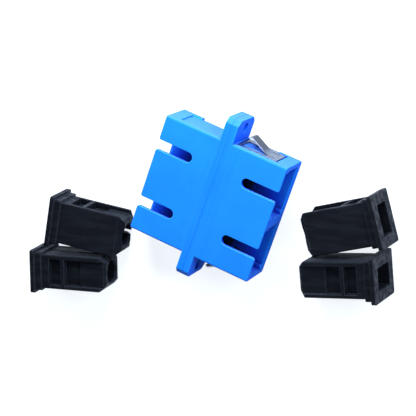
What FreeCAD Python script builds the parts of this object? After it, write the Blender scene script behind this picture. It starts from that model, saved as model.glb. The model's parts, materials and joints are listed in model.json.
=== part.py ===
import FreeCAD, Part
import math
import os

# Duplex SC fibre adapter: two welded housing halves with flange ears, a steel
# panel clip, four latch inserts, two split sleeves and four dust caps taken off.
# Millimetres. +X is the wide direction, towards an ear, +Y runs along the fibre
# axes and +Z is the broad face with the key slots. The origin is the middle of
# the flange. The adapter lies on its other broad face, with the caps around it.

# How far a cutting shape reaches past the surface that it cuts
past = 1.0

# Ports
port_pitch = 12.7
port_width = 9.1
port_height = 7.5
mouth_chamfer = 0.5
key_slot_width = 2.2
key_slot_depth = 8.05
key_slot_corner = 0.45

# Housing
body_width = 25.4
body_thickness = 9.2
body_length = 27.4
body_edge_radius = 0.45
body_end_chamfer = 0.15
flange_thickness = 2.8
ear_length = 4.8
ear_slope_length = 1.1
ear_slope_height = 1.15
ear_corner_radius = 0.35
ear_hole_inset = 2.8
ear_hole_radius = 1.15
seam_chamfer = 0.03

# Seat of the latch inserts, and the grooves that their hooks spread into
ledge_width = 0.6
ledge_thickness = 0.95
groove_height = 5.2
groove_depth = 0.8

# Locating pins between the halves
pin_radius = 0.5
pin_length = 0.9
pin_height = 2.4
pin_clearance = 0.04
pin_root_depth = 0.2

# Path of the clip round the body, the same on both halves
path_depth = 0.35
path_start = 1.8
path_length = 7.0
leg_path_length = 9.2
leg_path_height = 3.2

# Spring clip
strip_thickness = 0.25
strip_gap = 0.03
clip_side_gap = 0.1
clip_start_gap = 0.2
leg_end_gap = 0.5
leg_top_gap = 0.4
clip_bend_radius = 0.5
window_start_rail = 0.5
window_end_rail = 2.4
window_front_rail = 0.85
window_back_edge = 2.2
tongue_back_gap = 0.4
tongue_front_gap = 0.65
tongue_angle = 26.5
tongue_reach = 4.3
tongue_lip_length = 0.55
tongue_lip_angle = 35.0
tongue_bend_radius = 0.8
relief_slit_length = 1.4
relief_slit_width = 0.3
leg_corner_radius = 0.25

# Latch inserts
insert_clearance = 0.05
plate_thickness = 1.0
tube_outer_radius = 2.3
tube_lip_thickness = 0.85
ferrule_entry_radius = 1.45
ferrule_entry_chamfer = 0.4
hook_inner_distance = 3.4
hook_thickness = 0.9
hook_width = 3.8
hook_reach = 8.7
hook_catch_depth = 0.65
hook_catch_length = 0.5
hook_ramp_length = 1.0
hook_root_radius = 0.4
hook_lead_in = 0.25
hook_tip_radius = 0.2
hook_catch_radius = 0.15

# Split sleeves
sleeve_outer_radius = 1.6
sleeve_bore_radius = 1.247
sleeve_length = 11.4
sleeve_slit_width = 0.5
sleeve_clearance = 0.05
sleeve_end_gap = 0.05
sleeve_mouth_chamfer = 0.12

# Dust caps. Along a cap, x runs from its plate to its nose.
cap_wall = 0.8
cap_port_clearance = 0.07
cap_body_length = 14.3
cap_neck_length = 1.7
cap_step_length = 1.4
cap_step_overhang = 0.45
cap_plate_thickness = 0.9
cap_plate_overhang = 0.5
cap_edge_radius = 0.3
cap_plate_corner_radius = 0.5
cap_nose_chamfer = 1.3
cap_bore_clearance = 0.12
cap_bore_chamfer = 0.35
cap_window_width = 6.4
cap_window_height = 4.6
cap_window_depth = 3.1
cap_pocket_depth = 1.4
cap_root_pocket_length = 2.7
cap_rib_thickness = 0.75
cap_middle_pocket_length = 3.5
cap_nose_pocket_depth = 0.8
cap_slot_width = 0.9
cap_slot_length = 7.6

# Where the caps lie. The front cap of a pair is placed by the middle of its plate,
# along X and beyond the ports' end, and the back cap by its step from the front one.
# A turn is that of the nose from +X towards +Y, in degrees.
left_front_x = -31.2
left_end_distance = 18.3
left_front_turn = -70.0
left_step_x = 11.6
left_step_y = 0.3
left_back_turn = -80.0
right_front_x = -0.4
right_end_distance = 25.2
right_front_turn = 115.0
right_step_x = 10.7
right_step_y = 4.2
right_back_turn = 125.0

# Worked out from the sizes above
half_length = body_length / 2
half_width = body_width / 2
half_thickness = body_thickness / 2
half_flange = flange_thickness / 2
flange_tip = half_width + ear_length
ear_hole_x = half_width + ear_hole_inset
port_x = port_pitch / 2
surface_z = -half_thickness
pocket_depth = plate_thickness + insert_clearance
pocket_width = port_width + 2 * ledge_width
sleeve_seat_depth = sleeve_length / 2 + sleeve_end_gap
tube_reach = sleeve_seat_depth + tube_lip_thickness
leg_path_end = path_start + leg_path_length
path_end = path_start + path_length
core_x = half_width - path_depth
core_z = half_thickness - path_depth
cap_half_width = port_width / 2 - cap_port_clearance
cap_half_height = port_height / 2 - cap_port_clearance
left_front_y = half_length + left_end_distance
right_front_y = -half_length - right_end_distance

X = FreeCAD.Vector(1, 0, 0)
Y = FreeCAD.Vector(0, 1, 0)
Z = FreeCAD.Vector(0, 0, 1)


def box(x0, x1, y0, y1, z0, z1):
    return Part.makeBox(x1 - x0, y1 - y0, z1 - z0, FreeCAD.Vector(x0, y0, z0))


def rod(radius, start, direction, length):
    return Part.makeCylinder(radius, length, start, direction)


def parallel_edges(shape, direction, wanted):
    """Straight edges along a direction whose middle the function wanted accepts."""
    found = []
    for edge in shape.Edges:
        if isinstance(edge.Curve, Part.Line):
            along = (edge.lastVertex().Point - edge.firstVertex().Point).normalize()
            if abs(along.dot(direction)) > 0.999 and wanted(edge.CenterOfMass):
                found.append(edge)
    return found


def rounded_edges(points, radii, closed):
    """Straight edges through the points, with an arc of the given radius at each corner."""
    count = len(points)
    corners = range(count) if closed else range(1, count - 1)
    entry = {}
    exit_ = {}
    arcs = {}
    for i in corners:
        here = points[i]
        back = (points[i - 1] - here).normalize()
        ahead = (points[(i + 1) % count] - here).normalize()
        if radii[i] <= 0:
            continue
        half_angle = back.getAngle(ahead) / 2
        trim = radii[i] / math.tan(half_angle)
        middle = (back + ahead).normalize()
        centre = here + middle * (radii[i] / math.sin(half_angle))
        entry[i] = here + back * trim
        exit_[i] = here + ahead * trim
        arcs[i] = Part.Arc(entry[i], centre - middle * radii[i], exit_[i]).toShape()
    edges = []
    for i in range(count if closed else count - 1):
        j = (i + 1) % count
        start = exit_.get(i, points[i])
        end = entry.get(j, points[j])
        if start.distanceToPoint(end) > 1e-7:
            edges.append(Part.LineSegment(start, end).toShape())
        if j in arcs:
            edges.append(arcs[j])
    return edges


def rounded_face(points, radii):
    return Part.Face(Part.Wire(rounded_edges(points, radii, True)))


def side_of_path(points, radii, normal, offset):
    """The path moved sideways, with the radii of its bends to match."""
    moved = []
    bends = []
    for i, point in enumerate(points):
        ahead = (points[i + 1] - point).normalize() if i < len(points) - 1 else None
        behind = (point - points[i - 1]).normalize() if i > 0 else None
        if ahead is None or behind is None:
            side = (ahead or behind).cross(normal)
            moved.append(point + side * offset)
            bends.append(0.0)
            continue
        side = behind.cross(normal) + ahead.cross(normal)
        moved.append(point + side * (2 * offset / side.dot(side)))
        turn = behind.cross(ahead).dot(normal)
        bends.append(radii[i] + (offset if turn > 0 else -offset))
    return moved, bends


def bent_strip(points, radii, normal, thickness):
    """A strip's edge face: the path is its middle line, with that bend radius at each corner."""
    right, right_bends = side_of_path(points, radii, normal, thickness / 2)
    left, left_bends = side_of_path(points, radii, normal, -thickness / 2)
    edges = rounded_edges(right, right_bends, False)
    edges.append(Part.LineSegment(right[-1], left[-1]).toShape())
    edges += rounded_edges(left[::-1], left_bends[::-1], False)
    edges.append(Part.LineSegment(left[0], right[0]).toShape())
    return Part.Face(Part.Wire(Part.__sortEdges__(edges)))


def tapered_box(width, height, grow, y0, y1):
    """A block along Y that is width by height at y0, and wider by grow all round at y1."""
    w = width / 2
    h = height / 2
    return Part.makeWedge(-w, y0, -h, -h - grow, -w - grow, w, y1, h, h + grow, w + grow)


def port_cut(x):
    """One port's hollow, from the seat of the insert to the mouth."""
    half_w = port_width / 2
    half_h = port_height / 2
    seat = box(x - pocket_width / 2, x + pocket_width / 2, -past, pocket_depth, -half_h, half_h)
    hollow = box(x - half_w, x + half_w, 0, half_length + past, -half_h, half_h)
    groove = box(x - half_w - groove_depth, x + half_w + groove_depth,
                 pocket_depth + ledge_thickness, half_length + past,
                 -groove_height / 2, groove_height / 2)
    mouth = tapered_box(port_width, port_height, mouth_chamfer + past,
                        half_length - mouth_chamfer, half_length + past)
    mouth.translate(X * x)
    return hollow.fuse([seat, groove, mouth])


def key_slot_cut(x):
    """A slot with a round end in the broad face, and rounded corners at the mouth."""
    half_w = key_slot_width / 2
    r = key_slot_corner
    y0 = half_length - key_slot_depth
    slot = box(x - half_w, x + half_w, y0 + half_w, half_length + past, 0, half_thickness + past)
    slot = slot.fuse(rod(half_w, FreeCAD.Vector(x, y0 + half_w, 0), Z, half_thickness + past))
    for side in (-1, 1):
        inner = x + side * half_w
        corner = box(min(inner, inner + side * r), max(inner, inner + side * r),
                     half_length - r, half_length + past, 0, half_thickness + past)
        centre = FreeCAD.Vector(inner + side * r, half_length - r, 0)
        slot = slot.fuse(corner.cut(rod(r, centre, Z, half_thickness + past)))
    return slot


def clip_path_cut():
    """Room for the clip: a band round the back and both sides, longer on the sides."""
    corner_radius = clip_bend_radius + strip_gap
    core = box(-core_x, core_x, -past, half_length, -core_z, half_thickness + past)
    back_edges = parallel_edges(core, Y, lambda p: p.z < 0)
    core = core.makeFillet(corner_radius, back_edges)
    band = box(-half_width - past, half_width + past, path_start, path_end,
               -half_thickness - past, leg_path_height)
    legs = box(-half_width - past, half_width + past, path_end, leg_path_end,
               -leg_path_height, leg_path_height)
    return band.fuse(legs).cut(core)


def flange_half():
    """Half the flange's thickness, with both ears."""
    shoulder = flange_tip - ear_slope_length
    tip_z = half_thickness - ear_slope_height
    quarter = [(flange_tip, tip_z), (shoulder, half_thickness)]
    outline = quarter + [(-x, z) for x, z in quarter[::-1]]
    outline += [(-x, -z) for x, z in quarter] + [(x, -z) for x, z in quarter[::-1]]
    points = [FreeCAD.Vector(x, 0, z) for x, z in outline]
    face = rounded_face(points, [ear_corner_radius] * len(points))
    plate = face.extrude(Y * half_flange)
    seam = [e for e in plate.Edges if abs(e.BoundBox.YMin) < 1e-6 and e.BoundBox.YLength < 1e-6]
    plate = plate.makeChamfer(seam_chamfer, seam)
    for side in (-1, 1):
        start = FreeCAD.Vector(side * ear_hole_x, -past, 0)
        plate = plate.cut(rod(ear_hole_radius, start, Y, half_flange + 2 * past))
    return plate


def housing_half():
    """One moulded half, on the +Y side of the flange's middle."""
    body = box(-half_width, half_width, seam_chamfer, half_length, -half_thickness, half_thickness)
    body = body.makeFillet(body_edge_radius, parallel_edges(body, Y, lambda p: True))
    end = [e for e in body.Edges if e.BoundBox.YMin > half_length - 1e-6]
    body = body.makeChamfer(body_end_chamfer, end)
    half = body.fuse(flange_half())
    cuts = [clip_path_cut()]
    for x in (-port_x, port_x):
        cuts += [port_cut(x), key_slot_cut(x)]
    pin_x = (port_x + pocket_width / 2 + ear_hole_x - ear_hole_radius) / 2
    for side in (-1, 1):
        start = FreeCAD.Vector(-side * pin_x, -past, side * pin_height)
        cuts.append(rod(pin_radius + pin_clearance, start, Y,
                        past + pin_length + 2 * pin_clearance))
    half = half.cut(cuts)
    for side in (-1, 1):
        root = FreeCAD.Vector(side * pin_x, pin_root_depth, side * pin_height)
        pin = rod(pin_radius, root, -Y, pin_root_depth + pin_length)
        half = half.fuse(pin)
    return half.removeSplitter()


def turned(shape):
    """The same piece on the other side of the flange."""
    copy = shape.copy()
    copy.rotate(FreeCAD.Vector(0, 0, 0), Z, 180)
    return copy


def clip_tongue(side):
    """The sprung tongue of one leg, out of the leg towards the flange."""
    middle_x = core_x + strip_gap + strip_thickness / 2
    back_z = -window_back_edge + tongue_back_gap
    front_z = leg_path_height - leg_top_gap - window_front_rail - tongue_front_gap
    root_y = leg_path_end - leg_end_gap - window_end_rail
    slope = math.radians(tongue_angle)
    drop = math.radians(tongue_lip_angle)
    run = tongue_reach / math.cos(slope)
    bend = FreeCAD.Vector(middle_x, root_y, back_z)
    tip = bend + FreeCAD.Vector(math.sin(slope), -math.cos(slope), 0) * run
    lip = tip + FreeCAD.Vector(-math.sin(drop), -math.cos(drop), 0) * tongue_lip_length
    start = bend + Y * relief_slit_length
    radii = [0, tongue_bend_radius, tongue_bend_radius / 2, 0]
    tongue = bent_strip([start, bend, tip, lip], radii, Z, strip_thickness)
    tongue = tongue.extrude(Z * (front_z - back_z))
    if side < 0:
        tongue = tongue.mirror(FreeCAD.Vector(0, 0, 0), X)
    return tongue


def clip_leg_cut():
    """What is cut out of a leg: its window, the slits beside the tongue and the tongue's place."""
    x0 = half_width - 2 * path_depth
    x1 = half_width + path_depth
    y0 = path_start + clip_start_gap + window_start_rail
    y1 = leg_path_end - leg_end_gap - window_end_rail
    top = leg_path_height - leg_top_gap - window_front_rail
    back_z = -window_back_edge
    tongue_front = top - tongue_front_gap
    window = box(x0, x1, y0, y1, back_z, top)
    slit_end = y1 + relief_slit_length
    back_slit = box(x0, x1, y1, slit_end, back_z, back_z + tongue_back_gap)
    front_slit = box(x0, x1, y1, slit_end, tongue_front, tongue_front + relief_slit_width)
    root = box(x0, x1, y1, slit_end, back_z + tongue_back_gap, tongue_front)
    return window.fuse([back_slit, front_slit, root])


def spring_clip():
    """The U-shaped strip round the back of the half on the -Y side."""
    middle_x = core_x + strip_gap + strip_thickness / 2
    middle_z = core_z + strip_gap + strip_thickness / 2
    top = leg_path_height - leg_top_gap
    y0 = path_start + clip_start_gap
    y1 = leg_path_end - leg_end_gap
    path = [FreeCAD.Vector(x, y0, z) for x, z in
            ((-middle_x, top), (-middle_x, -middle_z), (middle_x, -middle_z), (middle_x, top))]
    radius = clip_bend_radius + strip_thickness / 2
    clip = bent_strip(path, [0, radius, radius, 0], Y, strip_thickness)
    clip = clip.extrude(Y * (y1 - y0))
    bridge_end = path_end - clip_side_gap
    rail_z = -leg_path_height + clip_side_gap
    clip = clip.cut(box(-half_width - past, half_width + past, bridge_end, y1 + past,
                        -half_thickness - past, rail_z))
    corners = parallel_edges(clip, X, lambda p: p.z > top - 1e-6 or (p.y > y1 - 1e-6 and p.z < 0))
    clip = clip.makeFillet(leg_corner_radius, corners)
    leg_cut = clip_leg_cut()
    clip = clip.cut([leg_cut, leg_cut.mirror(FreeCAD.Vector(0, 0, 0), X)])
    clip = clip.fuse([clip_tongue(-1), clip_tongue(1)]).removeSplitter()
    return turned(clip)


def latch_hook(side):
    """One hooked arm of an insert, its catch turned towards the fibre axis."""
    inner = hook_inner_distance
    outer = inner + hook_thickness
    catch = inner - hook_catch_depth
    catch_end = hook_reach - hook_ramp_length
    catch_start = catch_end - hook_catch_length
    lead = hook_lead_in
    root = plate_thickness / 2
    outline = [(inner, root), (outer, root), (outer, hook_reach), (inner - lead, hook_reach),
               (catch, catch_end), (catch, catch_start), (inner, catch_start - lead)]
    points = [FreeCAD.Vector(side * x, y, -hook_width / 2) for x, y in outline]
    radii = [0, 0, hook_tip_radius, 0, hook_catch_radius, 0, 0]
    arm = rounded_face(points, radii).extrude(Z * hook_width)
    r = hook_root_radius
    foot = box(inner - r, inner, root, plate_thickness + r, -hook_width / 2, hook_width / 2)
    hollow = rod(r, FreeCAD.Vector(inner - r, plate_thickness + r, -hook_width / 2 - past), Z,
                 hook_width + 2 * past)
    foot = foot.cut(hollow)
    if side < 0:
        foot = foot.mirror(FreeCAD.Vector(0, 0, 0), X)
    return arm.fuse(foot)


def latch_insert(x):
    """Plate, sleeve tube and two hooks of one port, on the +Y side."""
    half_w = pocket_width / 2 - insert_clearance * 2
    half_h = port_height / 2 - insert_clearance * 2
    origin = FreeCAD.Vector(0, 0, 0)
    insert = box(-half_w, half_w, 0, plate_thickness, -half_h, half_h)
    tube = rod(tube_outer_radius, origin, Y, tube_reach)
    insert = insert.fuse([tube, latch_hook(-1), latch_hook(1)])
    seat = rod(sleeve_outer_radius + sleeve_clearance, -Y * past, Y, past + sleeve_seat_depth)
    entry = rod(ferrule_entry_radius, origin, Y, tube_reach + past)
    flare = Part.makeCone(ferrule_entry_radius, ferrule_entry_radius + ferrule_entry_chamfer,
                          ferrule_entry_chamfer, Y * (tube_reach - ferrule_entry_chamfer), Y)
    insert = insert.cut([seat, entry, flare]).removeSplitter()
    insert.translate(X * x)
    return insert


def split_sleeve(x):
    """A ceramic tube with a slit along its whole length."""
    start = FreeCAD.Vector(0, -sleeve_length / 2, 0)
    sleeve = rod(sleeve_outer_radius, start, Y, sleeve_length)
    sleeve = sleeve.cut(rod(sleeve_bore_radius, start - Y * past, Y, sleeve_length + 2 * past))
    mouths = [e for e in sleeve.Edges if isinstance(e.Curve, Part.Circle)
              and e.Curve.Radius < sleeve_outer_radius]
    sleeve = sleeve.makeChamfer(sleeve_mouth_chamfer, mouths)
    half_slit = sleeve_slit_width / 2
    sleeve = sleeve.cut(box(-half_slit, half_slit, -sleeve_length, sleeve_length,
                            0, 2 * sleeve_outer_radius))
    sleeve.translate(X * x)
    return sleeve


def cap_pockets(side, body_start, nose):
    """The pockets of one narrow side, with ribs between them. The last one is open at the nose."""
    inner_z = cap_half_height - cap_wall
    deep_y = cap_half_width - cap_pocket_depth
    shallow_y = cap_half_width - cap_nose_pocket_depth
    x0 = body_start + cap_neck_length
    x1 = x0 + cap_root_pocket_length
    x2 = x1 + cap_rib_thickness
    x3 = x2 + cap_middle_pocket_length
    outside = cap_half_width + past
    cuts = []
    for start, end, floor in ((x0, x1, deep_y), (x2, x3, deep_y), (x3, nose + past, shallow_y)):
        low, high = sorted((side * floor, side * outside))
        cuts.append(box(start, end, low, high, -inner_z, inner_z))
    return cuts


def dust_cap():
    """A cap along +X, its plate's outer face at x = 0 and its axis on the X axis."""
    half_w = cap_half_width
    half_h = cap_half_height
    body_start = cap_plate_thickness + cap_step_length
    nose = body_start + cap_body_length
    body = box(0, nose, -half_w, half_w, -half_h, half_h)
    body = body.makeFillet(cap_edge_radius, parallel_edges(body, X, lambda p: True))
    blunt = nose - cap_nose_chamfer
    outline = tapered_box(2 * half_w, 2 * half_h, -cap_nose_chamfer, blunt, nose)
    outline = outline.fuse(box(-half_w, half_w, 0, blunt, -half_h, half_h))
    outline.rotate(FreeCAD.Vector(0, 0, 0), Z, -90)
    body = body.common(outline)
    step_w = half_w + cap_step_overhang
    step_h = half_h + cap_step_overhang
    step = box(0, body_start, -step_w, step_w, -step_h, step_h)
    step = step.makeFillet(cap_plate_corner_radius, parallel_edges(step, X, lambda p: True))
    plate_w = step_w + cap_plate_overhang
    plate_h = step_h + cap_plate_overhang
    plate = box(0, cap_plate_thickness, -plate_w, plate_w, -plate_h, plate_h)
    plate = plate.makeFillet(cap_plate_corner_radius, parallel_edges(plate, X, lambda p: True))
    cap = body.fuse([step, plate])
    bore_radius = tube_outer_radius + cap_bore_clearance
    cuts = [rod(bore_radius, X * -past, X, nose + 2 * past)]
    cuts.append(Part.makeCone(bore_radius, bore_radius + cap_bore_chamfer, cap_bore_chamfer,
                              X * (nose - cap_bore_chamfer), X))
    cuts.append(box(-past, cap_window_depth, -cap_window_width / 2, cap_window_width / 2,
                    -cap_window_height / 2, cap_window_height / 2))
    cuts.append(box(nose - cap_slot_length, nose + past, -cap_slot_width / 2,
                    cap_slot_width / 2, -half_h - past, 0))
    for side in (-1, 1):
        cuts += cap_pockets(side, body_start, nose)
    return cap.cut(cuts).removeSplitter()


def laid_cap(x, y, turn, quarter_rolls):
    """A cap at rest on its plate's edge and its nose. A quarter roll lays it on its pockets."""
    cap = dust_cap()
    overhang = cap_step_overhang + cap_plate_overhang
    cap.rotate(FreeCAD.Vector(0, 0, 0), X, 90 * quarter_rolls)
    body_half = cap_half_width if quarter_rolls else cap_half_height
    nose = cap.BoundBox.XMax - cap_nose_chamfer
    pitch = math.degrees(math.atan2(overhang, nose - cap_plate_thickness))
    cap.rotate(FreeCAD.Vector(cap_plate_thickness, 0, -body_half - overhang), Y, pitch)
    cap.translate(Z * (surface_z - cap.BoundBox.ZMin))
    cap.rotate(FreeCAD.Vector(0, 0, 0), Z, turn)
    cap.translate(FreeCAD.Vector(x, y, 0))
    return cap


def main():
    plain_side = housing_half()
    parts = {
        "housing_plain_side": plain_side,
        "housing_clip_side": turned(plain_side),
        "spring_clip": spring_clip(),
        "split_sleeve_a": split_sleeve(port_x),
        "split_sleeve_b": split_sleeve(-port_x),
    }
    for port, x in (("a", port_x), ("b", -port_x)):
        parts[f"latch_insert_{port}_plain_side"] = latch_insert(x)
        parts[f"latch_insert_{port}_clip_side"] = turned(latch_insert(-x))
    parts["dust_cap_left_front"] = laid_cap(left_front_x, left_front_y, left_front_turn, 1)
    parts["dust_cap_left_back"] = laid_cap(
        left_front_x + left_step_x, left_front_y + left_step_y, left_back_turn, 0)
    parts["dust_cap_right_front"] = laid_cap(
        right_front_x, right_front_y, right_front_turn, -1)
    parts["dust_cap_right_back"] = laid_cap(
        right_front_x + right_step_x, right_front_y + right_step_y, right_back_turn, 0)

    os.makedirs("parts", exist_ok=True)
    for name, shape in parts.items():
        shape.exportStep(os.path.join("parts", name + ".step"))
        print(f"{name:32s} solids {len(shape.Solids)} valid {shape.isValid()} "
              f"volume {shape.Volume:8.2f} faces {len(shape.Faces)}")


main()
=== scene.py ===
import json
import math

import bmesh
import bpy
from mathutils import Matrix, Vector


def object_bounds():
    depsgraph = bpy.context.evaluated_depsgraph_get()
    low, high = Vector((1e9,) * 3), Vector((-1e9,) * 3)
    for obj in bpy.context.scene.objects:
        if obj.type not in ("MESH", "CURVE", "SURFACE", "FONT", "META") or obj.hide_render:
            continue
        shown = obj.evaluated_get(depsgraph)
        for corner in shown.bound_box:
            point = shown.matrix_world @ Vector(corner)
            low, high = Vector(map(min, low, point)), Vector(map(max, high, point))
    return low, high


# Looks of a duplex SC fibre adapter that lies on a white surface with its four
# dust caps. Metres, in the CAD frame: +X to an ear, +Y along the fibre axes, +Z up.

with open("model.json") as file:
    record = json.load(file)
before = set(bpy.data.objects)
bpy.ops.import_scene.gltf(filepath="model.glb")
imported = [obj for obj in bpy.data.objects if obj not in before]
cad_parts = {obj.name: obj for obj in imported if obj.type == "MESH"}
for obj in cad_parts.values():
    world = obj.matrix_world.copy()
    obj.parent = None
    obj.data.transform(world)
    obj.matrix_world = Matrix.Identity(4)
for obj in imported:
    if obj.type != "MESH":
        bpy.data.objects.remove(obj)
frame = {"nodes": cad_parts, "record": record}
cad_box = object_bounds()

MM = 0.001

# Camera, fitted to the housing's edges in the photograph
camera_place = Vector((101.671, -88.900, 291.874)) * MM
camera_right = Vector((0.30933, -0.87240, -0.37846))
camera_back = Vector((0.32518, -0.27695, 0.90419))
lens = 136.35
sensor_width = 36.0

# Places on the adapter, in X from its middle
port_walls = 12.2 * MM
tongue_root = 12.8 * MM
tongue_clear = 13.3 * MM

# Places on the adapter, in Y from the middle of its flange
weld_shade_start = 0.05 * MM
weld_line_start = 0.2 * MM
weld_line_end = 0.4 * MM
flow_start = 1.2 * MM
flow_end = 4.5 * MM
empty_path_middle = 7 * MM
empty_path_reach = 5 * MM

# The way the melt ran in the caps as they lie, turned from +X
cap_streak_turn = math.radians(110)

# Stage
surface_z = cad_box[0][2]
floor_radius = 3.0
floor_paint = "#A4A8AE"
floor_seen = "#F6FBFF"
floor_lift = 0.86
world_seen = "#FFFFFF"
world_strength = 0.13
background_in_gloss = "#DCEAFF"
object_centre = Vector((0.0, 0.0, 0.0))

# Sockets of a Mix node that mixes colours, which share their names with hidden ones
mix_factor = 0
mix_first = 6
mix_second = 7
mix_result = 2


def linear(hex_colour):
    """An sRGB hex colour as the linear values that a shader socket takes."""
    values = [int(hex_colour[i:i + 2], 16) / 255 for i in (1, 3, 5)]
    return (*[v / 12.92 if v <= 0.04045 else ((v + 0.055) / 1.055) ** 2.4 for v in values], 1.0)


def add(tree, kind, inputs=(), **settings):
    """Adds a node with its own settings. Each input gets a value, or a link from a socket."""
    node = tree.nodes.new(kind)
    for name, value in settings.items():
        setattr(node, name, value)
    for key, value in dict(inputs).items():
        if isinstance(value, bpy.types.NodeSocket):
            tree.links.new(value, node.inputs[key])
        else:
            node.inputs[key].default_value = value
    return node


def empty_material(name):
    """A new material and its node tree, with no nodes in it yet."""
    material = bpy.data.materials.new(name)
    material.use_nodes = True
    material.node_tree.nodes.clear()
    return material, material.node_tree


def per_feature(millimetres):
    """The noise scale at which one blotch is about this wide."""
    return 1 / (millimetres * MM)


def lines_across(tree, place, width, length, detail):
    """Noise in lines this many millimetres wide in Y and this long in X and Z."""
    shrink = width / length
    stretched = add(tree, "ShaderNodeMapping", {"Vector": place, "Scale": (shrink, 1.0, shrink)})
    lines = add(tree, "ShaderNodeTexNoise", {
        "Vector": stretched.outputs[0], "Scale": per_feature(width), "Detail": detail})
    return lines.outputs[0]


def facing(tree, normal, axis, start, full):
    """How much a face looks either way along an axis: 0 at the start cosine, 1 at the full one."""
    either_way = add(tree, "ShaderNodeMath", {0: normal.outputs[axis]}, operation="ABSOLUTE")
    amount = add(tree, "ShaderNodeMapRange", {
        "Value": either_way.outputs[0], "From Min": start, "From Max": full})
    return amount.outputs[0]


def rounded_edges(tree, millimetres, samples):
    """The normal with edges rounded this much, and its cosine to the flat one: 1 off an edge."""
    rounded = add(tree, "ShaderNodeBevel", {"Radius": millimetres * MM}, samples=samples)
    flat = add(tree, "ShaderNodeNewGeometry")
    turn = add(tree, "ShaderNodeVectorMath", {
        0: rounded.outputs[0], 1: flat.outputs["True Normal"]}, operation="DOT_PRODUCT")
    return rounded.outputs[0], turn.outputs["Value"]


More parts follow.
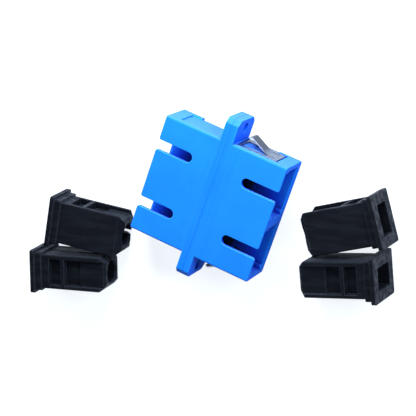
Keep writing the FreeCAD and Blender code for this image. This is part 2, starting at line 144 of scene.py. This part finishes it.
def moulded_pbt(name, body, shade, flow_line, side_sheen_paint, end_shade_paint, port_shade_paint, darkest_shade_paint, edge_highlight_paint):
    """PBT moulded in a fine spark-eroded tool: satin and strong in colour, with a painted
    highlight along its edges, painted sheen on its narrow sides, and painted shade on its ends, in
    its ports and in tight corners.
    """
    material, tree = empty_material(name)
    coordinates = add(tree, "ShaderNodeTexCoord")
    place = coordinates.outputs["Object"]
    along = add(tree, "ShaderNodeSeparateXYZ", {"Vector": place})
    from_middle = add(tree, "ShaderNodeMath", {0: along.outputs["X"]}, operation="ABSOLUTE")
    from_flange = add(tree, "ShaderNodeMath", {0: along.outputs["Y"]}, operation="ABSOLUTE")
    # The pigment is a little uneven over about 7 mm.
    blotches = add(tree, "ShaderNodeTexNoise", {
        "Vector": place, "Scale": per_feature(7), "Detail": 3.0, "Roughness": 0.55})
    uneven = add(tree, "ShaderNodeMapRange", {
        "Value": blotches.outputs[0], "From Min": 0.35, "From Max": 0.68})
    pigment = add(tree, "ShaderNodeMix", {
        mix_factor: uneven.outputs[0], mix_first: linear(body), mix_second: linear(shade)},
        data_type="RGBA")
    # The melt left faint lines along X where the walls meet the thick flange, and the weld
    # shows as one more.
    streaks = lines_across(tree, place, width=0.8, length=20, detail=2.0)
    streaked = add(tree, "ShaderNodeMapRange", {
        "Value": streaks, "From Min": 0.45, "From Max": 0.7, "To Max": 0.5})
    near_flange = add(tree, "ShaderNodeMapRange", {
        "Value": from_flange.outputs[0], "From Min": flow_start, "From Max": flow_end,
        "To Min": 1.0, "To Max": 0.0})
    flow = add(tree, "ShaderNodeMath", {
        0: streaked.outputs[0], 1: near_flange.outputs[0]}, operation="MULTIPLY")
    at_weld = add(tree, "ShaderNodeMapRange", {
        "Value": from_flange.outputs[0], "From Min": weld_shade_start, "From Max": weld_line_end,
        "To Min": 0.35, "To Max": 0.0})
    marked = add(tree, "ShaderNodeMath", {
        0: flow.outputs[0], 1: at_weld.outputs[0]}, operation="MAXIMUM")
    skin = add(tree, "ShaderNodeMix", {
        mix_factor: marked.outputs[0], mix_first: pigment.outputs[mix_result],
        mix_second: linear(flow_line)}, data_type="RGBA")
    # Painted light: the narrow sides are painted paler, as a painted sheen, and the ends a deeper
    # blue, as painted shade, as in the photograph. In +Y the clip's path is empty, and its shallow
    # steps get no painted end shade, so they keep the tone of the faces around them.
    past_walls = add(tree, "ShaderNodeMath", {
        0: from_middle.outputs[0], 1: port_walls}, operation="GREATER_THAN")
    beside_path = add(tree, "ShaderNodeMath", {
        0: along.outputs["Y"], 1: empty_path_middle, 2: empty_path_reach}, operation="COMPARE")
    on_path = add(tree, "ShaderNodeMath", {
        0: past_walls.outputs[0], 1: beside_path.outputs[0]}, operation="MULTIPLY")
    normal = add(tree, "ShaderNodeSeparateXYZ", {"Vector": coordinates.outputs["Normal"]})
    on_side = facing(tree, normal, "X", start=0.5, full=0.9)
    faces_end = facing(tree, normal, "Y", start=0.5, full=0.9)
    on_end = add(tree, "ShaderNodeMath", {
        0: faces_end, 1: on_path.outputs[0]}, operation="SUBTRACT", use_clamp=True)
    sided = add(tree, "ShaderNodeMix", {
        mix_factor: on_side, mix_first: skin.outputs[mix_result],
        mix_second: linear(side_sheen_paint)}, data_type="RGBA")
    outer = add(tree, "ShaderNodeMix", {
        mix_factor: on_end.outputs[0], mix_first: sided.outputs[mix_result],
        mix_second: linear(end_shade_paint)}, data_type="RGBA")
    # Painted shade: inside the ports the colour is painted deep blue, and darker still where they
    # are most closed in.
    recess = add(tree, "ShaderNodeAmbientOcclusion", {"Distance": 20 * MM}, samples=12,
                 only_local=True)
    inward = add(tree, "ShaderNodeMapRange", {
        "Value": recess.outputs["AO"], "From Min": 0.18, "From Max": 0.35})
    inside = add(tree, "ShaderNodeMix", {
        mix_factor: inward.outputs[0], mix_first: linear(darkest_shade_paint), mix_second: linear(port_shade_paint)},
        data_type="RGBA")
    open_to_light = add(tree, "ShaderNodeMapRange", {
        "Value": recess.outputs["AO"], "From Min": 0.38, "From Max": 0.6})
    outward = add(tree, "ShaderNodeMath", {
        0: open_to_light.outputs[0], 1: on_path.outputs[0]}, operation="MAXIMUM")
    base = add(tree, "ShaderNodeMix", {
        mix_factor: outward.outputs[0], mix_first: inside.outputs[mix_result],
        mix_second: outer.outputs[mix_result]}, data_type="RGBA")
    # Painted shade: a dark line in a tight corner, and where another piece, such as the clip,
    # comes near.
    crevice = add(tree, "ShaderNodeAmbientOcclusion", {"Distance": 0.4 * MM}, samples=8)
    in_crevice = add(tree, "ShaderNodeMapRange", {
        "Value": crevice.outputs["AO"], "From Min": 0.3, "From Max": 0.65,
        "To Min": 0.8, "To Max": 0.0})
    shade_lined = add(tree, "ShaderNodeMix", {
        mix_factor: in_crevice.outputs[0], mix_first: base.outputs[mix_result],
        mix_second: linear(darkest_shade_paint)}, data_type="RGBA")
    # A painted highlight: a thin pale line along an outer edge. The ends, the weld and the insides
    # of the ports have none.
    round_edge, turn = rounded_edges(tree, 0.22, samples=6)
    at_edge = add(tree, "ShaderNodeMapRange", {
        "Value": turn, "From Min": 0.995, "From Max": 0.86, "To Min": 0.0, "To Max": 0.6})
    off_weld = add(tree, "ShaderNodeMapRange", {
        "Value": from_flange.outputs[0], "From Min": weld_line_start, "From Max": weld_line_end})
    off_end = add(tree, "ShaderNodeMath", {0: 1.0, 1: on_end.outputs[0]}, operation="SUBTRACT")
    outside = add(tree, "ShaderNodeMath", {
        0: off_end.outputs[0], 1: outward.outputs[0]}, operation="MULTIPLY")
    allowed = add(tree, "ShaderNodeMath", {
        0: outside.outputs[0], 1: off_weld.outputs[0]}, operation="MULTIPLY")
    lit_edge = add(tree, "ShaderNodeMath", {
        0: at_edge.outputs[0], 1: allowed.outputs[0]}, operation="MULTIPLY")
    edged = add(tree, "ShaderNodeMix", {
        mix_factor: lit_edge.outputs[0], mix_first: shade_lined.outputs[mix_result],
        mix_second: linear(edge_highlight_paint)}, data_type="RGBA")
    # Spark-eroded grain is about 0.05 mm; it is drawn at 0.25 mm, so that it shows.
    grain = add(tree, "ShaderNodeTexNoise", {
        "Vector": place, "Scale": per_feature(0.25), "Detail": 2.0, "Roughness": 0.6})
    gloss = add(tree, "ShaderNodeMapRange", {
        "Value": grain.outputs[0], "From Min": 0.3, "From Max": 0.7,
        "To Min": 0.5, "To Max": 0.62})
    relief = add(tree, "ShaderNodeBump", {
        "Strength": 0.12, "Distance": 0.02 * MM, "Height": grain.outputs[0],
        "Normal": round_edge})
    # The specular level is low: in the photograph, no haze from the lamps pales the blue.
    shader = add(tree, "ShaderNodeBsdfPrincipled", {
        "Base Color": edged.outputs[mix_result], "Roughness": gloss.outputs[0], "IOR": 1.55,
        "Specular IOR Level": 0.03, "Normal": relief.outputs[0]})
    add(tree, "ShaderNodeOutputMaterial", {"Surface": shader.outputs[0]})
    return material


def rolled_spring_steel(name):
    """Stainless spring steel as it comes off the rolls: grey, with fine lines along the strip,
    painted glints on its upward edges and painted shade along its outline and in its crevices.
    """
    material, tree = empty_material(name)
    coordinates = add(tree, "ShaderNodeTexCoord")
    place = coordinates.outputs["Object"]
    # Rolling lines, drawn coarser than the real ones, so that they show.
    lines = lines_across(tree, place, width=0.12, length=2, detail=3.0)
    rolled = add(tree, "ShaderNodeMix", {
        mix_factor: lines, mix_first: linear("#566474"), mix_second: linear("#7E8C9E")},
        data_type="RGBA")
    # The tongues stand out past the legs, and are painted darker there: a painted shade for the
    # darker reflection they catch.
    along = add(tree, "ShaderNodeSeparateXYZ", {"Vector": place})
    from_middle = add(tree, "ShaderNodeMath", {0: along.outputs["X"]}, operation="ABSOLUTE")
    on_tongue = add(tree, "ShaderNodeMapRange", {
        "Value": from_middle.outputs[0], "From Min": tongue_root, "From Max": tongue_clear})
    tongue_painted_shade = add(tree, "ShaderNodeMix", {
        mix_factor: on_tongue.outputs[0], mix_first: rolled.outputs[mix_result],
        mix_second: linear("#343C48")}, data_type="RGBA")
    # Painted highlight: the cut edges that face up are painted bright, most of all on the tongues.
    normal = add(tree, "ShaderNodeSeparateXYZ", {"Vector": coordinates.outputs["Normal"]})
    faces_up = add(tree, "ShaderNodeMapRange", {
        "Value": normal.outputs["Z"], "From Min": 0.6, "From Max": 0.9})
    glint_strength = add(tree, "ShaderNodeMapRange", {
        "Value": on_tongue.outputs[0], "To Min": 0.4, "To Max": 0.85})
    up_edge_glint = add(tree, "ShaderNodeMath", {
        0: faces_up.outputs[0], 1: glint_strength.outputs[0]}, operation="MULTIPLY")
    glinted = add(tree, "ShaderNodeMix", {
        mix_factor: up_edge_glint.outputs[0], mix_first: tongue_painted_shade.outputs[mix_result],
        mix_second: linear("#E8ECF2")}, data_type="RGBA")
    # Painted shade, a dark colour that is no metal, lies along the strip's outline, in its slits,
    # at the roots of the tongues and where the plastic comes near.
    _, turn = rounded_edges(tree, 0.2, samples=8)
    clear_of_outline = add(tree, "ShaderNodeMapRange", {
        "Value": turn, "From Min": 0.88, "From Max": 0.99})
    off_outline_or_glint = add(tree, "ShaderNodeMath", {
        0: clear_of_outline.outputs[0], 1: up_edge_glint.outputs[0]}, operation="MAXIMUM")
    crevice = add(tree, "ShaderNodeAmbientOcclusion", {"Distance": 0.5 * MM}, samples=8)
    clear_of_crevice = add(tree, "ShaderNodeMapRange", {
        "Value": crevice.outputs["AO"], "From Min": 0.35, "From Max": 0.8})
    unshaded = add(tree, "ShaderNodeMath", {
        0: off_outline_or_glint.outputs[0], 1: clear_of_crevice.outputs[0]}, operation="MULTIPLY")
    shade_lined = add(tree, "ShaderNodeMix", {
        mix_factor: unshaded.outputs[0], mix_first: linear("#141A24"),
        mix_second: glinted.outputs[mix_result]}, data_type="RGBA")
    gloss = add(tree, "ShaderNodeMapRange", {
        "Value": lines, "From Min": 0.3, "From Max": 0.7, "To Min": 0.24, "To Max": 0.4})
    # The cut edges themselves are nearly sharp.
    round_edge = add(tree, "ShaderNodeBevel", {"Radius": 0.05 * MM}, samples=6)
    relief = add(tree, "ShaderNodeBump", {
        "Strength": 0.15, "Distance": 0.01 * MM, "Height": lines,
        "Normal": round_edge.outputs[0]})
    shader = add(tree, "ShaderNodeBsdfPrincipled", {
        "Base Color": shade_lined.outputs[mix_result], "Metallic": unshaded.outputs[0],
        "Roughness": gloss.outputs[0], "Specular IOR Level": 0.1,
        "Normal": relief.outputs[0]})
    add(tree, "ShaderNodeOutputMaterial", {"Surface": shader.outputs[0]})
    return material


def ground_zirconia(name):
    """Zirconia, ground to size: dense white with a cool depth and a clean gloss."""
    material, tree = empty_material(name)
    place = add(tree, "ShaderNodeTexCoord").outputs["Object"]
    # Grinding marks run round the sleeve.
    marks = lines_across(tree, place, width=0.15, length=0.75, detail=2.0)
    gloss = add(tree, "ShaderNodeMapRange", {"Value": marks, "To Min": 0.12, "To Max": 0.26})
    shader = add(tree, "ShaderNodeBsdfPrincipled", {
        "Base Color": linear("#F2F1EC"), "Roughness": gloss.outputs[0], "IOR": 2.1,
        "Subsurface Weight": 0.2, "Subsurface Radius": (1.0, 0.9, 0.8),
        "Subsurface Scale": 0.4 * MM})
    add(tree, "ShaderNodeOutputMaterial", {"Surface": shader.outputs[0]})
    return material


def moulded_black_cap(name):
    """Soft black polyethylene: a cool black with wavy streaks of sheen, painted highlights on its
    edges, painted sheen on its standing faces and painted shade in its pockets.
    """
    material, tree = empty_material(name)
    coordinates = add(tree, "ShaderNodeTexCoord")
    place = coordinates.outputs["Object"]
    # The black is a little uneven over about 3 mm.
    blotches = add(tree, "ShaderNodeTexNoise", {
        "Vector": place, "Scale": per_feature(3), "Detail": 4.0, "Roughness": 0.6})
    black = add(tree, "ShaderNodeMix", {
        mix_factor: blotches.outputs[0], mix_first: linear("#0A0C11"),
        mix_second: linear("#11141A")}, data_type="RGBA")
    # Painted sheen: the standing faces are painted paler than those that face up or down.
    normal = add(tree, "ShaderNodeSeparateXYZ", {"Vector": coordinates.outputs["Normal"]})
    standing = facing(tree, normal, "Z", start=0.7, full=0.3)
    side_sheen_painted = add(tree, "ShaderNodeMix", {
        mix_factor: standing, mix_first: black.outputs[mix_result],
        mix_second: linear("#1A1F28")}, data_type="RGBA")
    # Painted shade: the pockets and the bore are painted darker than the outside.
    recess = add(tree, "ShaderNodeAmbientOcclusion", {"Distance": 4 * MM}, samples=12,
                 only_local=True)
    outward = add(tree, "ShaderNodeMapRange", {
        "Value": recess.outputs["AO"], "From Min": 0.1, "From Max": 0.6})
    base = add(tree, "ShaderNodeMix", {
        mix_factor: outward.outputs[0], mix_first: linear("#020305"),
        mix_second: side_sheen_painted.outputs[mix_result]}, data_type="RGBA")
    # Painted highlight: the edges are painted grey.
    round_edge, turn = rounded_edges(tree, 0.16, samples=6)
    at_edge = add(tree, "ShaderNodeMapRange", {
        "Value": turn, "From Min": 0.99, "From Max": 0.85, "To Min": 0.0, "To Max": 0.45})
    edged = add(tree, "ShaderNodeMix", {
        mix_factor: at_edge.outputs[0], mix_first: base.outputs[mix_result],
        mix_second: linear("#4C5464")}, data_type="RGBA")
    # The melt left streaks along the caps that are glossier than the rest.
    streak_width = 1.2
    streak_length = 8.4
    along = add(tree, "ShaderNodeMapping", {
        "Vector": place, "Rotation": (0.0, 0.0, cap_streak_turn),
        "Scale": (streak_length / streak_width, 1.0, 1.0)}, vector_type="TEXTURE")
    streaks = add(tree, "ShaderNodeTexNoise", {
        "Vector": along.outputs[0], "Scale": per_feature(streak_width), "Detail": 3.0,
        "Distortion": 0.4})
    gloss = add(tree, "ShaderNodeMapRange", {
        "Value": streaks.outputs[0], "From Min": 0.4, "From Max": 0.62,
        "To Min": 0.6, "To Max": 0.44})
    sheen = add(tree, "ShaderNodeMapRange", {
        "Value": streaks.outputs[0], "From Min": 0.45, "From Max": 0.66,
        "To Min": 0.04, "To Max": 0.13})
    # Grain of about 0.3 mm over waves of the same width as the streaks.
    grain = add(tree, "ShaderNodeTexNoise", {
        "Vector": place, "Scale": per_feature(0.3), "Detail": 3.0, "Roughness": 0.65})
    waves = add(tree, "ShaderNodeBump", {
        "Strength": 0.2, "Distance": 0.06 * MM, "Height": streaks.outputs[0],
        "Normal": round_edge})
    relief = add(tree, "ShaderNodeBump", {
        "Strength": 0.2, "Distance": 0.03 * MM, "Height": grain.outputs[0],
        "Normal": waves.outputs[0]})
    shader = add(tree, "ShaderNodeBsdfPrincipled", {
        "Base Color": edged.outputs[mix_result], "Roughness": gloss.outputs[0], "IOR": 1.51,
        "Specular IOR Level": sheen.outputs[0], "Specular Tint": linear("#D0DCF4"),
        "Normal": relief.outputs[0]})
    add(tree, "ShaderNodeOutputMaterial", {"Surface": shader.outputs[0]})
    return material


finishes = {
    "housing": moulded_pbt(
        "moulded_pbt_blue", body="#1A7CF6", shade="#1876F2", flow_line="#0C66E0",
        side_sheen_paint="#3C7EF5", end_shade_paint="#1468FC", port_shade_paint="#0C2CDC", darkest_shade_paint="#122030", edge_highlight_paint="#44C8FF"),
    "insert": moulded_pbt(
        "moulded_pbt_insert", body="#0A1C3C", shade="#081834", flow_line="#0C66E0",
        side_sheen_paint="#0A1C3C", end_shade_paint="#0A1838", port_shade_paint="#060A16", darkest_shade_paint="#04060C", edge_highlight_paint="#123468"),
    "clip": rolled_spring_steel("rolled_spring_steel"),
    "sleeve": ground_zirconia("ground_zirconia"),
    "cap": moulded_black_cap("moulded_black_polyethylene"),
}
for subpart in frame["record"]["subparts"]:
    piece = frame["nodes"][subpart["node"]]
    piece.data.materials.clear()
    piece.data.materials.append(finishes[subpart["material_slot"]])


def background_seen(tree, to_camera):
    """How much of the background a ray sees, and its colour, which is cool in reflections."""
    path = add(tree, "ShaderNodeLightPath")
    either = add(tree, "ShaderNodeMath", {
        0: path.outputs["Is Camera Ray"], 1: path.outputs["Is Glossy Ray"]}, operation="MAXIMUM")
    any_of = add(tree, "ShaderNodeMath", {
        0: either.outputs[0], 1: path.outputs["Is Transmission Ray"]}, operation="MAXIMUM")
    colour = add(tree, "ShaderNodeMix", {
        mix_factor: path.outputs["Is Glossy Ray"], mix_first: linear(to_camera),
        mix_second: linear(background_in_gloss)}, data_type="RGBA")
    return any_of.outputs[0], colour.outputs[mix_result]


def white_floor():
    """A wide white floor. It is lifted to white where it is seen, and keeps a bluish shadow."""
    mesh = bmesh.new()
    bmesh.ops.create_circle(mesh, cap_ends=True, segments=64, radius=floor_radius,
                            matrix=Matrix.Translation((0, 0, surface_z)))
    data = bpy.data.meshes.new("floor")
    mesh.to_mesh(data)
    mesh.free()
    floor = bpy.data.objects.new("floor", data)
    bpy.context.scene.collection.objects.link(floor)
    material, tree = empty_material("white_paper_floor")
    matt = add(tree, "ShaderNodeBsdfDiffuse", {"Color": linear(floor_paint)})
    seen, colour = background_seen(tree, floor_seen)
    lift = add(tree, "ShaderNodeMath", {0: seen, 1: floor_lift}, operation="MULTIPLY")
    glow = add(tree, "ShaderNodeEmission", {"Color": colour, "Strength": lift.outputs[0]})
    both = add(tree, "ShaderNodeAddShader", {0: matt.outputs[0], 1: glow.outputs[0]})
    add(tree, "ShaderNodeOutputMaterial", {"Surface": both.outputs[0]})
    data.materials.append(material)


def pale_world():
    """A world that is white where it is seen, and lights the object only a little."""
    world = bpy.data.worlds.new("pale_studio")
    bpy.context.scene.world = world
    world.use_nodes = True
    tree = world.node_tree
    tree.nodes.clear()
    seen, colour = background_seen(tree, world_seen)
    level = add(tree, "ShaderNodeMapRange", {
        "Value": seen, "To Min": world_strength, "To Max": 1.0})
    sky = add(tree, "ShaderNodeBackground", {"Color": colour, "Strength": level.outputs[0]})
    add(tree, "ShaderNodeOutputWorld", {"Surface": sky.outputs[0]})


def softbox(name, place, side, watts):
    """A square soft lamp that faces the object."""
    light = bpy.data.lights.new(name, "AREA")
    light.size = side
    light.energy = watts
    lamp = bpy.data.objects.new(name, light)
    lamp.location = place
    lamp.rotation_mode = "QUATERNION"
    lamp.rotation_quaternion = (object_centre - lamp.location).to_track_quat("-Z", "Y")
    bpy.context.scene.collection.objects.link(lamp)


def photograph_camera():
    """The camera where the photograph was taken from, with its axes made square."""
    camera = bpy.data.objects.new("camera", bpy.data.cameras.new("camera"))
    camera.data.lens = lens
    camera.data.sensor_width = sensor_width
    up = camera_back.cross(camera_right).normalized()
    right = up.cross(camera_back).normalized()
    turn = Matrix((right, up, camera_back.normalized())).transposed()
    camera.matrix_world = Matrix.Translation(camera_place) @ turn.to_4x4()
    camera.data.clip_start = 0.01
    camera.data.clip_end = 20.0
    bpy.context.scene.collection.objects.link(camera)
    bpy.context.scene.camera = camera


white_floor()
pale_world()
softbox("key_softbox", place=Vector((102, 30, 64)) * MM, side=80 * MM, watts=0.33)
softbox("end_softbox", place=Vector((130, -160, 130)) * MM, side=120 * MM, watts=0.46)
softbox("low_softbox", place=Vector((-220, -50, 40)) * MM, side=160 * MM, watts=0.12)
softbox("far_softbox", place=Vector((60, 190, 80)) * MM, side=120 * MM, watts=0.17)
photograph_camera()
bpy.context.scene.view_settings.view_transform = "Standard"
